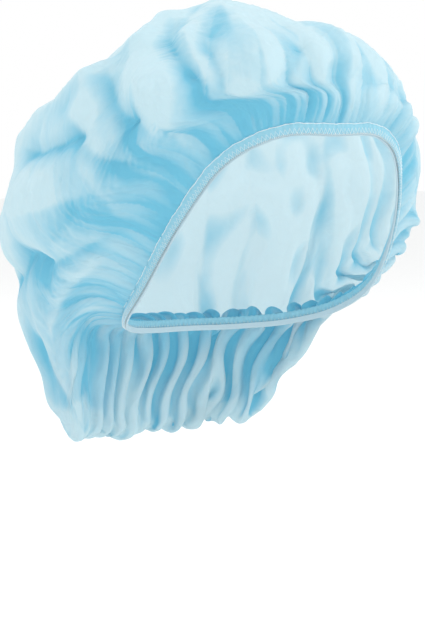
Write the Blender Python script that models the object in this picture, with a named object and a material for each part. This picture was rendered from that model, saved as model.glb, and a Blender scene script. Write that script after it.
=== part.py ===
"""A disposable bouffant cap of spunbond nonwoven, in the form that it has when it is worn.

One round sheet is gathered at its edge onto an elastic. The gathered edge makes the head opening,
which is high on the forehead and low on the nape. Above it the sheet puffs out into the crown, and
behind it the loose sheet hangs below the opening as a pouch. Units are metres, +Z is up, -Y is the
wearer's front, +X is the wearer's left, and the origin is the middle of the head opening.
"""

import bpy
import numpy as np

# Head opening
OPENING_HALF_BREADTH = 0.073
OPENING_HALF_LENGTH = 0.076
OPENING_FRONT_RISE = 0.055
OPENING_NAPE_DROP = 0.051
NAPE_NARROWING = 0.10

# Crown
CROWN_BREADTH = 0.208
CROWN_LENGTH = 0.228
CROWN_SHIFT_BACK = 0.040
CROWN_SHIFT_LEFT = -0.004
CROWN_RISE = 0.120
POUCH_DROP = 0.110
TOP_SHIFT_BACK = 0.026
CLOTH_WALL = 0.001

# Hem and elastic
BAND_WIDTH = 0.0055
BAND_THICKNESS = 0.0014
BAND_PROUD = 0.0002
ELASTIC_WIDTH = 0.0030
ELASTIC_THICKNESS = 0.0008
ELASTIC_SHOWS = 0.0012
SEAT_GAP = 0.0003

# How far the sheet has puffed out where its gathers are deepest
SWELL = 0.030

# Gathers that leave the hem
FINE_GATHERS = 40
FINE_GATHER_DEPTH = 0.0020
FINE_GATHER_REACH = 0.030
BROAD_GATHERS = 17
BROAD_GATHER_DEPTH = 0.0045
BROAD_GATHER_REACH = 0.085

# Where the broad gathers start round the cap, and how the gathers' spacing sways: the waves
# round the cap, the sway in radians and where each wave starts
BROAD_GATHERS_START = 1.1
GATHER_SWAYS = ((3, 0.06, 0.7), (7, 0.03, 1.9))

# Points along the line of a main fold
FOLD_POINTS = 13

# Rings of faces from the top of the crown to the hem, and how closely they crowd at the hem
RINGS = 22
HEM_CROWDING = 1.25

# One row per section round the cap. Angles are degrees from the front towards the wearer's left.
# The hem's height is a share of OPENING_FRONT_RISE, or of OPENING_NAPE_DROP where it is negative.
# Swells are shares of SWELL. Reaches are shares of the crown's half breadth and half length, and
# the other heights are shares of CROWN_RISE, or of POUCH_DROP where they are negative.
SECTION_COLUMNS = (
    "angle", "hem_height", "swell_out", "swell_up", "lip_reach", "lip_height",
    "belly_reach", "belly_height", "shoulder_reach", "shoulder_height",
)
SECTIONS = (
    (0, 1.00, 0.12, 0.45, 1.04, 0.67, 1.05, 0.75, 0.62, 0.92),
    (25, 0.97, 0.15, 0.45, 1.00, 0.62, 0.98, 0.69, 0.55, 0.88),
    (45, 0.72, 0.20, 0.45, 0.96, 0.48, 0.93, 0.56, 0.52, 0.82),
    (65, 0.18, 0.26, 0.40, 0.96, 0.21, 0.99, 0.32, 0.56, 0.77),
    (88, -0.47, 0.34, 0.30, 0.91, -0.06, 1.00, 0.19, 0.65, 0.71),
    (108, -0.76, 0.42, 0.10, 0.84, -0.30, 0.99, 0.12, 0.70, 0.67),
    (130, -0.92, 0.45, 0.00, 0.75, -0.85, 1.00, 0.08, 0.71, 0.64),
    (155, -0.99, 0.45, 0.00, 0.72, -0.98, 1.01, 0.08, 0.72, 0.62),
    (180, -1.00, 0.45, 0.00, 0.72, -1.00, 1.01, 0.08, 0.72, 0.61),
    (205, -0.99, 0.45, 0.00, 0.72, -1.00, 1.02, 0.08, 0.72, 0.61),
    (230, -0.92, 0.45, 0.00, 0.72, -0.93, 1.03, 0.09, 0.72, 0.61),
    (252, -0.76, 0.42, 0.10, 0.81, -0.36, 1.02, 0.12, 0.72, 0.64),
    (272, -0.47, 0.34, 0.30, 0.90, -0.06, 1.01, 0.19, 0.73, 0.70),
    (295, 0.18, 0.26, 0.40, 0.95, 0.23, 1.01, 0.34, 0.74, 0.77),
    (315, 0.72, 0.20, 0.45, 0.99, 0.50, 1.01, 0.57, 0.74, 0.83),
    (335, 0.97, 0.15, 0.45, 1.03, 0.63, 1.03, 0.70, 0.70, 0.88),
)

# One row per main fold. A fold runs between two places, each an angle in degrees and a climb from
# the hem, 0, to the top, 1. Half widths and depths are shares of CROWN_BREADTH. A positive depth
# is a ridge and a negative one a crease. A lean makes the flank on one side the steeper one.
FOLD_COLUMNS = (
    "from_angle", "from_climb", "to_angle", "to_climb", "half_width", "depth", "lean",
)
FOLDS = (
    (306, 0.70, 323, 0.34, 0.030, -0.022, 0.3),
    (323, 0.34, 329, 0.12, 0.026, -0.020, 0.3),
    (300, 0.60, 316, 0.20, 0.055, 0.022, -0.2),
    (318, 0.60, 331, 0.12, 0.026, 0.014, 0.2),
    (328, 0.42, 334, 0.10, 0.024, -0.018, 0.3),
    (340, 0.62, 343, 0.12, 0.050, 0.016, 0.0),
    (359, 0.62, 352, 0.32, 0.028, -0.018, 0.4),
    (352, 0.32, 356, 0.06, 0.022, -0.016, 0.3),
    (8, 0.52, 3, 0.12, 0.036, 0.012, 0.0),
    (12, 0.28, 16, 0.08, 0.020, -0.012, 0.2),
    (28, 0.40, 24, 0.08, 0.030, 0.010, 0.0),
    (40, 0.36, 35, 0.08, 0.022, -0.012, 0.0),
    (296, 0.50, 308, 0.28, 0.034, -0.026, 0.4),
    (308, 0.28, 306, 0.06, 0.026, -0.020, 0.2),
    (285, 0.62, 296, 0.20, 0.055, 0.022, 0.0),
    (290, 0.40, 303, 0.20, 0.026, -0.018, -0.3),
    (256, 0.52, 290, 0.40, 0.030, -0.032, 0.3),
    (240, 0.60, 286, 0.55, 0.042, 0.030, 0.0),
    (248, 0.71, 284, 0.68, 0.060, -0.045, 0.0),
    (255, 0.85, 288, 0.80, 0.040, 0.012, 0.0),
    (254, 0.40, 282, 0.28, 0.060, 0.014, 0.0),
    (233, 0.45, 261, 0.26, 0.042, -0.054, 0.0),
    (261, 0.26, 280, 0.14, 0.030, -0.026, -0.3),
    (250, 0.17, 272, 0.10, 0.035, 0.014, 0.0),
    (241, 0.30, 233, 0.15, 0.028, -0.016, 0.0),
    (229, 0.32, 223, 0.16, 0.036, 0.014, 0.0),
    (296, 0.76, 300, 0.62, 0.045, 0.024, 0.0),
    (310, 0.80, 315, 0.62, 0.030, -0.016, 0.0),
    (330, 0.86, 335, 0.56, 0.045, 0.016, 0.0),
    (72, 0.16, 90, 0.11, 0.045, 0.045, 0.0),
    (60, 0.60, 74, 0.20, 0.050, 0.018, 0.0),
    (76, 0.62, 88, 0.26, 0.032, -0.022, 0.3),
    (94, 0.70, 102, 0.28, 0.055, 0.020, 0.0),
    (108, 0.52, 118, 0.24, 0.034, -0.024, -0.3),
    (128, 0.72, 126, 0.32, 0.060, 0.022, 0.0),
    (150, 0.76, 152, 0.32, 0.036, -0.022, 0.3),
    (172, 0.70, 168, 0.28, 0.060, 0.020, 0.0),
    (190, 0.78, 185, 0.34, 0.036, -0.024, -0.3),
    (203, 0.70, 200, 0.32, 0.060, 0.020, 0.0),
    (218, 0.76, 217, 0.38, 0.036, -0.022, 0.3),
    (237, 0.72, 234, 0.44, 0.055, 0.018, 0.0),
    (150, 0.18, 178, 0.21, 0.032, -0.018, 0.0),
    (186, 0.22, 214, 0.17, 0.040, 0.014, 0.0),
    (112, 0.20, 140, 0.22, 0.040, 0.016, 0.0),
)


def smooth_round(column, angle):
    """One column of the sections at each angle: a smooth curve through the rows that closes."""
    rows = np.array(SECTIONS)
    knots = np.concatenate([rows[:, 0] - 360, rows[:, 0], rows[:, 0] + 360])
    values = np.tile(rows[:, SECTION_COLUMNS.index(column)], 3)
    slopes = np.gradient(values, knots)
    before = np.searchsorted(knots, angle, side="right") - 1
    step = knots[before + 1] - knots[before]
    u = (angle - knots[before]) / step
    return hermite(
        u, values[before], values[before + 1], slopes[before] * step, slopes[before + 1] * step
    )


def hermite(u, start, end, start_slope, end_slope):
    """The cubic that leaves start with its slope at u = 0 and reaches end with its slope at 1."""
    stay = (1 + 2 * u) * (1 - u) ** 2
    leave = u * (1 - u) ** 2
    arrive = u**2 * (u - 1)
    return stay * start + (1 - stay) * end + leave * start_slope + arrive * end_slope


def signed_height(share, rise, drop):
    """A share of the rise above the opening's middle, or of the drop below it."""
    return np.where(share > 0, share * rise, share * drop)


def opening_loop(angle):
    """Points of the head opening: an oval, narrower at the nape, that drops from front to nape."""
    turn = np.radians(angle)
    narrow = 1 - NAPE_NARROWING * (1 - np.cos(turn)) / 2
    height = signed_height(smooth_round("hem_height", angle), OPENING_FRONT_RISE, OPENING_NAPE_DROP)
    return np.stack(
        [
            OPENING_HALF_BREADTH * narrow * np.sin(turn),
            -OPENING_HALF_LENGTH * np.cos(turn),
            height,
        ],
        axis=-1,
    )


def loop_frame(angle):
    """The loop's point, its level outward direction, and the direction of the band's width."""
    along = opening_loop(angle + 0.5) - opening_loop(angle - 0.5)
    along /= np.linalg.norm(along, axis=-1, keepdims=True)
    out = np.stack([along[..., 1], -along[..., 0], np.zeros_like(angle)], axis=-1)
    out /= np.linalg.norm(out, axis=-1, keepdims=True)
    return opening_loop(angle), out, np.cross(out, along)


def crown_level(angle, reach, height):
    """A point of the crown's level oval, at a share of its reach and a share of its height."""
    turn = np.radians(angle)
    return np.stack(
        [
            CROWN_SHIFT_LEFT + reach * CROWN_BREADTH / 2 * np.sin(turn),
            CROWN_SHIFT_BACK - reach * CROWN_LENGTH / 2 * np.cos(turn),
            signed_height(height, CROWN_RISE, POUCH_DROP),
        ],
        axis=-1,
    )


def section_stations(angle):
    """The places that each section passes: rim, swell, lip, belly, shoulder and top."""
    loop, out, up = loop_frame(angle)
    rim = loop + up * (BAND_WIDTH + SEAT_GAP)
    swell_out = smooth_round("swell_out", angle)[..., None] * SWELL
    swell_up = smooth_round("swell_up", angle)[..., None] * SWELL
    stations = [rim, rim + out * swell_out + up * swell_up]
    for name in ("lip", "belly", "shoulder"):
        reach = smooth_round(name + "_reach", angle)
        height = smooth_round(name + "_height", angle)
        stations.append(crown_level(angle, reach, height))
    top = np.array([CROWN_SHIFT_LEFT, TOP_SHIFT_BACK, CROWN_RISE])
    stations.append(np.broadcast_to(top, rim.shape))
    return np.stack(stations, axis=-2)


def smooth_crown(angle, climb):
    """The crown before its folds. Climb goes from 0 at the hem to 1 at the top, by the chords."""
    stations = section_stations(angle)
    chords = np.linalg.norm(np.diff(stations, axis=-2), axis=-1)
    knots = np.concatenate([np.zeros_like(chords[..., :1]), np.cumsum(chords, axis=-1)], axis=-1)
    slopes = np.diff(stations, axis=-2) / chords[..., None]
    before, after = chords[..., :-1, None], chords[..., 1:, None]
    middle = (slopes[..., :-1, :] * after + slopes[..., 1:, :] * before) / (before + after)
    level = slopes[..., -1:, :] * np.array([1, 1, 0])
    slopes = np.concatenate([slopes[..., :1, :], middle, level], axis=-2)
    run = climb * knots[..., -1]
    index = (run[..., None] >= knots[..., 1:-1]).sum(axis=-1)

    def pick(values, shift):
        return np.take_along_axis(values, (index + shift)[..., None, None], axis=-2)[..., 0, :]

    start = np.take_along_axis(knots, index[..., None], axis=-1)[..., 0]
    chord = np.take_along_axis(chords, index[..., None], axis=-1)
    u = (run - start)[..., None] / chord
    return hermite(
        u, pick(stations, 0), pick(stations, 1), pick(slopes, 0) * chord, pick(slopes, 1) * chord
    )


def section_length(angle):
    """Length of each section from hem to top, along the straight lines between its stations."""
    stations = section_stations(angle)
    return np.linalg.norm(np.diff(stations, axis=-2), axis=-1).sum(axis=-1)


def crown_normals(angle, climb):
    """Outward directions of the crown before its folds, from short steps round it and up it."""
    turn_step = 1.0
    climb_step = 0.004
    low = np.clip(climb, 0, 1 - climb_step)
    round_slope = smooth_crown(angle + turn_step, low) - smooth_crown(angle - turn_step, low)
    climb_slope = smooth_crown(angle, low + climb_step) - smooth_crown(angle, low)
    normals = np.cross(round_slope, climb_slope)
    return normals / np.linalg.norm(normals, axis=-1, keepdims=True)


def swell_then_fade(distance, reach):
    """0 at the hem, 1 at a quarter of the reach, and back to almost nothing at the reach."""
    share = 4 * distance / reach
    return share * np.exp(1 - share)


def uneven_turn(angle):
    """The angle in radians, moved to and fro a little, so that gathers aren't evenly spaced."""
    turn = np.radians(angle)
    for waves, sway, start in GATHER_SWAYS:
        turn = turn + sway * np.sin(waves * np.radians(angle) + start)
    return turn


def gather_lift(angle, climb):
    """Gathers: rounded ridges round the cap, fine ones at the hem that run into broader ones."""
    distance = climb * section_length(angle)
    lift = np.zeros_like(angle)
    for count, depth, reach, start in (
        (FINE_GATHERS, FINE_GATHER_DEPTH, FINE_GATHER_REACH, 0.0),
        (BROAD_GATHERS, BROAD_GATHER_DEPTH, BROAD_GATHER_REACH, BROAD_GATHERS_START),
    ):
        ridge = np.sqrt(0.5 + 0.5 * np.cos(count * uneven_turn(angle) + start))
        lift += depth * (ridge - 0.5) * swell_then_fade(distance, reach)
    return lift


def fold_lift(points, normals):
    """How far the main folds push each point out: a smooth bump across each fold's line."""
    lift = np.zeros(len(points))
    steps = np.linspace(0, 1, FOLD_POINTS)
    for row in FOLDS:
        fold = dict(zip(FOLD_COLUMNS, row))
        line = smooth_crown(
            fold["from_angle"] + (fold["to_angle"] - fold["from_angle"]) * steps,
            fold["from_climb"] + (fold["to_climb"] - fold["from_climb"]) * steps,
        )
        runs = np.diff(line, axis=0)
        offset = points[:, None] - line[:-1]
        share = np.clip((offset * runs).sum(-1) / (runs**2).sum(-1), 0, 1)
        away = offset - share[..., None] * runs
        nearest = np.linalg.norm(away, axis=-1).argmin(axis=1)
        away = away[np.arange(len(points)), nearest]
        distance = np.linalg.norm(away, axis=-1)
        sideways = np.cross(runs[nearest], normals)
        sideways /= np.linalg.norm(sideways, axis=-1, keepdims=True)
        side = (away * sideways).sum(-1) / np.maximum(distance, 1e-6)
        flank = fold["half_width"] * CROWN_BREADTH * (1 + fold["lean"] * side)
        lift += fold["depth"] * CROWN_BREADTH * np.exp(-((distance / flank) ** 2))
    return lift


def crown_sheet(angle, climb):
    """The gathered sheet: the smooth crown pushed out along its normals by folds and gathers."""
    points = smooth_crown(angle, climb)
    normals = crown_normals(angle, climb)
    clear_of_hem = np.clip(climb * section_length(angle) / SWELL, 0, 1)
    lift = gather_lift(angle, climb) + fold_lift(points, normals) * clear_of_hem
    return points + normals * lift[..., None]


def round_grid(rings):
    """A square grid drawn into a disc. Each ring of the disc is one square of the grid, so the
    quads keep their size up to the middle. Gives each point's angle and its share of the radius."""
    line = np.arange(-rings, rings + 1)
    x, y = (part.ravel().astype(float) for part in np.meshgrid(line, line))
    ring = np.maximum(np.abs(x), np.abs(y))
    on_sides = np.abs(x) >= np.abs(y)
    opposite = np.where(on_sides, x < 0, y < 0)
    along = np.where(on_sides, y, -x) / np.maximum(ring, 1) * np.where(opposite, -1, 1)
    angle = (45 * along + 90 * ~on_sides + 180 * opposite + 90) % 360
    columns = 2 * rings + 1
    corner = (np.arange(columns - 1)[:, None] * columns + np.arange(columns - 1)).ravel()
    faces = np.stack([corner, corner + 1, corner + columns + 1, corner + columns], axis=-1)
    return angle, ring / rings, faces


def new_object(name, points, faces, material):
    """A smooth-shaded mesh object with one material."""
    mesh = bpy.data.meshes.new(name)
    mesh.from_pydata(points.tolist(), [], faces.tolist())
    mesh.shade_smooth()
    mesh.materials.append(material)
    item = bpy.data.objects.new(name, mesh)
    bpy.context.scene.collection.objects.link(item)
    return item


def plain_material(name, colour, roughness):
    """A non-metal Principled material."""
    material = bpy.data.materials.new(name)
    material.use_nodes = True
    shader = material.node_tree.nodes["Principled BSDF"]
    shader.inputs["Base Color"].default_value = (*colour, 1)
    shader.inputs["Roughness"].default_value = roughness
    shader.inputs["Metallic"].default_value = 0
    return material


def make_crown():
    """The sheet with its wall: the drawn side is the outer one, and the wall grows inwards."""
    angle, share, faces = round_grid(RINGS)
    sheet = crown_sheet(angle, (1 - share) ** HEM_CROWDING)
    material = plain_material("spunbond_blue", (0.42, 0.72, 0.84), 0.8)
    crown = new_object("crown", sheet, faces, material)
    wall = crown.modifiers.new("wall", "SOLIDIFY")
    wall.thickness = CLOTH_WALL
    wall.offset = -1


def ring_of_profile(name, corners, material):
    """A closed ring with a four-cornered profile, carried round the head opening.
    Corners are (outward, up) distances from the loop, in order round the profile."""
    steps = 4 * RINGS
    loop, out, up = loop_frame(np.arange(steps) * 360 / steps)
    points = np.stack([loop + out * away + up * along for away, along in corners], axis=1)
    here = np.arange(steps)[:, None] * len(corners)
    after = (here + len(corners)) % (steps * len(corners))
    this, following = np.arange(len(corners)), np.roll(np.arange(len(corners)), -1)
    faces = np.stack([here + this, after + this, after + following, here + following], axis=-1)
    return new_object(name, points.reshape(-1, 3), faces.reshape(-1, 4), material)


def rectangle(inner, outer, low, high):
    """Corners of a profile, in the order that turns its ring's faces outwards."""
    return ((inner, low), (outer, low), (outer, high), (inner, high))


def make_hem_band():
    """The overlocked edge strip, just below the crown's rim."""
    inner = BAND_PROUD - BAND_THICKNESS
    material = plain_material("overlocked_spunbond", (0.35, 0.62, 0.78), 0.85)
    ring_of_profile("hem_band", rectangle(inner, BAND_PROUD, 0, BAND_WIDTH), material)


def make_elastic():
    """The flat elastic inside the band. Its lower edge shows under the band's."""
    outer = BAND_PROUD - BAND_THICKNESS - SEAT_GAP
    inner = outer - ELASTIC_THICKNESS
    high = ELASTIC_WIDTH - ELASTIC_SHOWS
    material = plain_material("white_elastic", (0.86, 0.88, 0.88), 0.6)
    ring_of_profile("elastic", rectangle(inner, outer, -ELASTIC_SHOWS, high), material)


for leftover in list(bpy.data.objects):
    bpy.data.objects.remove(leftover, do_unlink=True)
make_crown()
make_hem_band()
make_elastic()
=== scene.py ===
import bpy
import numpy as np
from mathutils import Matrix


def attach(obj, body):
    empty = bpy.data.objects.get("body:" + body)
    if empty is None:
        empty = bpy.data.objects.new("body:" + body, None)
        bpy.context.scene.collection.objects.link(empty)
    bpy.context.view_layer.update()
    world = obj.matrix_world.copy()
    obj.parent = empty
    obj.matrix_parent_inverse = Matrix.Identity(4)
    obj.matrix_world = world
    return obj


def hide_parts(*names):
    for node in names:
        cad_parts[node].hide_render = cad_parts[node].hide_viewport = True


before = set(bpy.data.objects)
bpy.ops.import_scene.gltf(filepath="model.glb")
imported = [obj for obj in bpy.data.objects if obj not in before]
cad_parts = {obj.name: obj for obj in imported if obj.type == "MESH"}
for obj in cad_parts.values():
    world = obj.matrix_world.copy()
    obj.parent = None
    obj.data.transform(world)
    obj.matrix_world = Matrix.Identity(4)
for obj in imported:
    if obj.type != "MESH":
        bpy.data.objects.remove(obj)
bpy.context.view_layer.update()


# Camera
# It stands to the front right of the wearer and a little above the opening, with a long lens.
# It aims below and beside the cap, which then fills the upper part of the upright picture.
camera_turn, camera_rise, camera_distance = np.radians(-30), np.radians(3), 1.2
aim_left, aim_down = np.radians(1.114), np.radians(1.934)
camera_data = bpy.data.cameras.new("camera")
camera_data.sensor_fit = "VERTICAL"
camera_data.sensor_height = 24
camera_data.lens = 87.75
camera = bpy.data.objects.new("camera", camera_data)
bpy.context.scene.collection.objects.link(camera)
camera.location = camera_distance * np.array(
    [
        np.sin(camera_turn) * np.cos(camera_rise),
        -np.cos(camera_turn) * np.cos(camera_rise),
        np.sin(camera_rise),
    ]
)
camera.rotation_euler = (np.pi / 2 - camera_rise - aim_down, 0, camera_turn + aim_left)
bpy.context.scene.camera = camera


# Studio
# A wide pale floor below the cap, an even white surround, and large soft lights: the main one in
# front and above at the wearer's left, a weak one at their right, and one behind the thin cloth.
floor_height = -0.20
floor_half = 6.0


def linear(colour):
    """An sRGB hex colour as linear RGBA: each channel c becomes ((c + 0.055) / 1.055) ** 2.4."""
    srgb = np.array([int(colour[i : i + 2], 16) for i in (1, 3, 5)]) / 255
    rgb = np.where(srgb <= 0.04045, srgb / 12.92, ((srgb + 0.055) / 1.055) ** 2.4)
    return (*rgb.tolist(), 1.0)


def add_node(tree, kind, sockets, **settings):
    """One node: its own settings, and its sockets, each given a value or another node's output."""
    made = tree.nodes.new(kind)
    for name, value in settings.items():
        setattr(made, name, value)
    for name, value in sockets.items():
        if isinstance(value, bpy.types.NodeSocket):
            tree.links.new(value, made.inputs[name])
        else:
            made.inputs[name].default_value = value
    return made


def new_material(name):
    """An empty node material: its tree and its output node."""
    material = bpy.data.materials.new(name)
    material.use_nodes = True
    material.node_tree.nodes.clear()
    return material, material.node_tree


def finish_material(tree, surface):
    """Joins the last shader to the material's output."""
    add_node(tree, "ShaderNodeOutputMaterial", {"Surface": surface})


def new_piece(name, points, faces, material):
    """A smooth-shaded mesh object at the origin, from arrays of points and faces."""
    mesh = bpy.data.meshes.new(name)
    mesh.from_pydata(points.tolist(), [], faces.tolist())
    mesh.shade_smooth()
    mesh.materials.append(material)
    piece = bpy.data.objects.new(name, mesh)
    bpy.context.scene.collection.objects.link(piece)
    return piece


# Matt white painted studio floor: no gloss, so nothing shows in it
floor_paint, tree = new_material("matt_white_floor_paint")
paint = add_node(tree, "ShaderNodeBsdfPrincipled", {"Base Color": linear("#f4f5f5"), "Roughness": 0.9})
finish_material(tree, paint.outputs[0])
corners = np.array([[-1, -1, 0], [1, -1, 0], [1, 1, 0], [-1, 1, 0]]) * floor_half
floor = new_piece("floor", corners + [0, 0, floor_height], np.array([[0, 1, 2, 3]]), floor_paint)

surround = bpy.data.worlds.new("white_surround")
surround.use_nodes = True
surround.node_tree.nodes["Background"].inputs["Color"].default_value = (1, 1, 1, 1)
surround.node_tree.nodes["Background"].inputs["Strength"].default_value = 1.0
bpy.context.scene.world = surround
bpy.context.scene.view_settings.view_transform = "Standard"

for name, place, size, power in (
    ("front_light", (1.1, -1.1, 1.5), 2.2, 23),
    ("side_light", (-1.6, -0.3, 0.3), 1.2, 2),
    ("back_light", (-0.3, 1.4, 1.0), 1.2, 5),
):
    light_data = bpy.data.lights.new(name, "AREA")
    light_data.size = size
    light_data.energy = power
    light = bpy.data.objects.new(name, light_data)
    bpy.context.scene.collection.objects.link(light)
    light.location = place
    flat_run = np.hypot(place[0], place[1])
    light.rotation_euler = (np.arctan2(flat_run, place[2]), 0, np.arctan2(place[0], -place[1]))


# Crown
# One disc of light blue spunbond polypropylene, 20 to 25 grams a square metre, gathered at its edge
# to a third of its length. It stands full above the opening and hangs behind it as a loose pouch.
FLAT_DIAMETER = 0.53
CLOTH_RINGS = 75

OPENING_HALF_BREADTH, OPENING_HALF_LENGTH, NAPE_NARROWING = 0.073, 0.076, 0.10
OPENING_FRONT_RISE, OPENING_NAPE_DROP = 0.055, 0.051
CROWN_BREADTH, CROWN_LENGTH = 0.208, 0.228
CROWN_SHIFT_BACK, CROWN_SHIFT_LEFT, TOP_SHIFT_BACK = 0.040, -0.004, 0.026
CROWN_RISE, POUCH_DROP, SWELL = 0.120, 0.110, 0.030
BAND_WIDTH, BAND_THICKNESS, BAND_PROUD = 0.0055, 0.0014, 0.0002
TUCK_BEHIND_BAND = 0.0010

# One row per section round the cap, as in the solids. Angles are degrees from the front towards the
# wearer's left, and the rest are shares of the sizes above.
SECTION_COLUMNS = (
    "angle", "hem_height", "swell_out", "swell_up", "lip_reach", "lip_height",
    "belly_reach", "belly_height", "shoulder_reach", "shoulder_height",
)
SECTIONS = np.array([
    (0, 1.00, 0.12, 0.45, 1.04, 0.67, 1.05, 0.75, 0.62, 0.92),
    (25, 0.97, 0.15, 0.45, 1.00, 0.62, 0.98, 0.69, 0.55, 0.88),
    (45, 0.72, 0.20, 0.45, 0.96, 0.48, 0.93, 0.56, 0.52, 0.82),
    (65, 0.18, 0.26, 0.40, 0.96, 0.21, 0.99, 0.32, 0.56, 0.77),
    (88, -0.47, 0.34, 0.30, 0.91, -0.06, 1.00, 0.19, 0.65, 0.71),
    (108, -0.76, 0.42, 0.10, 0.84, -0.30, 0.99, 0.12, 0.70, 0.67),
    (130, -0.92, 0.45, 0.00, 0.75, -0.85, 1.00, 0.08, 0.71, 0.64),
    (155, -0.99, 0.45, 0.00, 0.72, -0.98, 1.01, 0.08, 0.72, 0.62),
    (180, -1.00, 0.45, 0.00, 0.72, -1.00, 1.01, 0.08, 0.72, 0.61),
    (205, -0.99, 0.45, 0.00, 0.72, -1.00, 1.02, 0.08, 0.72, 0.61),
    (230, -0.92, 0.45, 0.00, 0.72, -0.93, 1.03, 0.09, 0.72, 0.61),
    (252, -0.76, 0.42, 0.10, 0.81, -0.36, 1.02, 0.12, 0.72, 0.64),
    (272, -0.47, 0.34, 0.30, 0.90, -0.06, 1.01, 0.19, 0.73, 0.70),
    (295, 0.18, 0.26, 0.40, 0.95, 0.23, 1.01, 0.34, 0.74, 0.77),
    (315, 0.72, 0.20, 0.45, 0.99, 0.50, 1.01, 0.57, 0.74, 0.83),
    (335, 0.97, 0.15, 0.45, 1.03, 0.63, 1.03, 0.70, 0.70, 0.88),
])

# One row per main fold: from and to (angle, climb), half width and depth as shares of the breadth,
# and a lean that makes one flank the steeper one. Positive depths are ridges.
FOLDS = (
    (306, 0.70, 323, 0.34, 0.030, -0.022, 0.3),
    (323, 0.34, 329, 0.12, 0.026, -0.020, 0.3),
    (300, 0.60, 316, 0.20, 0.055, 0.022, -0.2),
    (318, 0.60, 331, 0.12, 0.026, 0.014, 0.2),
    (328, 0.42, 334, 0.10, 0.024, -0.018, 0.3),
    (340, 0.62, 343, 0.12, 0.050, 0.016, 0.0),
    (359, 0.62, 352, 0.32, 0.028, -0.018, 0.4),
    (352, 0.32, 356, 0.06, 0.022, -0.016, 0.3),
    (8, 0.52, 3, 0.12, 0.036, 0.012, 0.0),
    (12, 0.28, 16, 0.08, 0.020, -0.012, 0.2),
    (28, 0.40, 24, 0.08, 0.030, 0.010, 0.0),
    (40, 0.36, 35, 0.08, 0.022, -0.012, 0.0),
    (296, 0.50, 308, 0.28, 0.034, -0.026, 0.4),
    (308, 0.28, 306, 0.06, 0.026, -0.020, 0.2),
    (285, 0.62, 296, 0.20, 0.055, 0.022, 0.0),
    (290, 0.40, 303, 0.20, 0.026, -0.018, -0.3),
    (256, 0.52, 290, 0.40, 0.030, -0.032, 0.3),
    (240, 0.60, 286, 0.55, 0.042, 0.030, 0.0),
    (248, 0.71, 284, 0.68, 0.060, -0.045, 0.0),
    (255, 0.85, 288, 0.80, 0.040, 0.012, 0.0),
    (254, 0.40, 282, 0.28, 0.060, 0.014, 0.0),
    (233, 0.45, 261, 0.26, 0.042, -0.054, 0.0),
    (261, 0.26, 280, 0.14, 0.030, -0.026, -0.3),
    (250, 0.17, 272, 0.10, 0.035, 0.014, 0.0),
    (241, 0.30, 233, 0.15, 0.028, -0.016, 0.0),
    (229, 0.32, 223, 0.16, 0.036, 0.014, 0.0),
    (296, 0.76, 300, 0.62, 0.045, 0.024, 0.0),
    (310, 0.80, 315, 0.62, 0.030, -0.016, 0.0),
    (330, 0.86, 335, 0.56, 0.045, 0.016, 0.0),
    (72, 0.16, 90, 0.11, 0.045, 0.045, 0.0),
    (60, 0.60, 74, 0.20, 0.050, 0.018, 0.0),
    (76, 0.62, 88, 0.26, 0.032, -0.022, 0.3),
    (94, 0.70, 102, 0.28, 0.055, 0.020, 0.0),
    (108, 0.52, 118, 0.24, 0.034, -0.024, -0.3),
    (128, 0.72, 126, 0.32, 0.060, 0.022, 0.0),
    (150, 0.76, 152, 0.32, 0.036, -0.022, 0.3),
    (172, 0.70, 168, 0.28, 0.060, 0.020, 0.0),
    (190, 0.78, 185, 0.34, 0.036, -0.024, -0.3),
    (203, 0.70, 200, 0.32, 0.060, 0.020, 0.0),
    (218, 0.76, 217, 0.38, 0.036, -0.022, 0.3),
    (237, 0.72, 234, 0.44, 0.055, 0.018, 0.0),
    (150, 0.18, 178, 0.21, 0.032, -0.018, 0.0),
    (186, 0.22, 214, 0.17, 0.040, 0.014, 0.0),
    (112, 0.20, 140, 0.22, 0.040, 0.016, 0.0),
)


def hermite(u, start, end, start_slope, end_slope):
    """The cubic that leaves start with its slope at u = 0 and reaches end with its slope at 1."""
    stay = (1 + 2 * u) * (1 - u) ** 2
    return stay * start + (1 - stay) * end + u * (1 - u) ** 2 * start_slope + u**2 * (u - 1) * end_slope


def section_value(column, angle):
    """One column of the sections at each angle: a smooth curve through the rows that closes."""
    knots = np.concatenate([SECTIONS[:, 0] - 360, SECTIONS[:, 0], SECTIONS[:, 0] + 360])
    values = np.tile(SECTIONS[:, SECTION_COLUMNS.index(column)], 3)
    slopes = np.gradient(values, knots)
    before = np.searchsorted(knots, angle, side="right") - 1
    step = knots[before + 1] - knots[before]
    return hermite(
        (angle - knots[before]) / step,
        values[before],
        values[before + 1],
        slopes[before] * step,
        slopes[before + 1] * step,
    )


def share_height(share, rise, drop):
    """A share of the rise above the opening's middle, or of the drop below it."""
    return np.where(share > 0, share * rise, share * drop)


def opening_loop(angle):
    """The hem's line: an oval, narrower at the nape, that drops from the forehead to the nape."""
    turn = np.radians(angle)
    narrow = 1 - NAPE_NARROWING * (1 - np.cos(turn)) / 2
    return np.stack(
        [
            OPENING_HALF_BREADTH * narrow * np.sin(turn),
            -OPENING_HALF_LENGTH * np.cos(turn),
            share_height(section_value("hem_height", angle), OPENING_FRONT_RISE, OPENING_NAPE_DROP),
        ],
        axis=-1,
    )


def hem_place(angle, outward, up):
    """A place at the hem: the line's point, moved level outwards and along the band's width."""
    along = opening_loop(angle + 0.5) - opening_loop(angle - 0.5)
    along /= np.linalg.norm(along, axis=-1, keepdims=True)
    out = np.stack([along[..., 1], -along[..., 0], np.zeros_like(angle)], axis=-1)
    out /= np.linalg.norm(out, axis=-1, keepdims=True)
    width = np.cross(out, along)
    outward = np.broadcast_to(outward, angle.shape)[..., None]
    up = np.broadcast_to(up, angle.shape)[..., None]
    return opening_loop(angle) + out * outward + width * up


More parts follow.
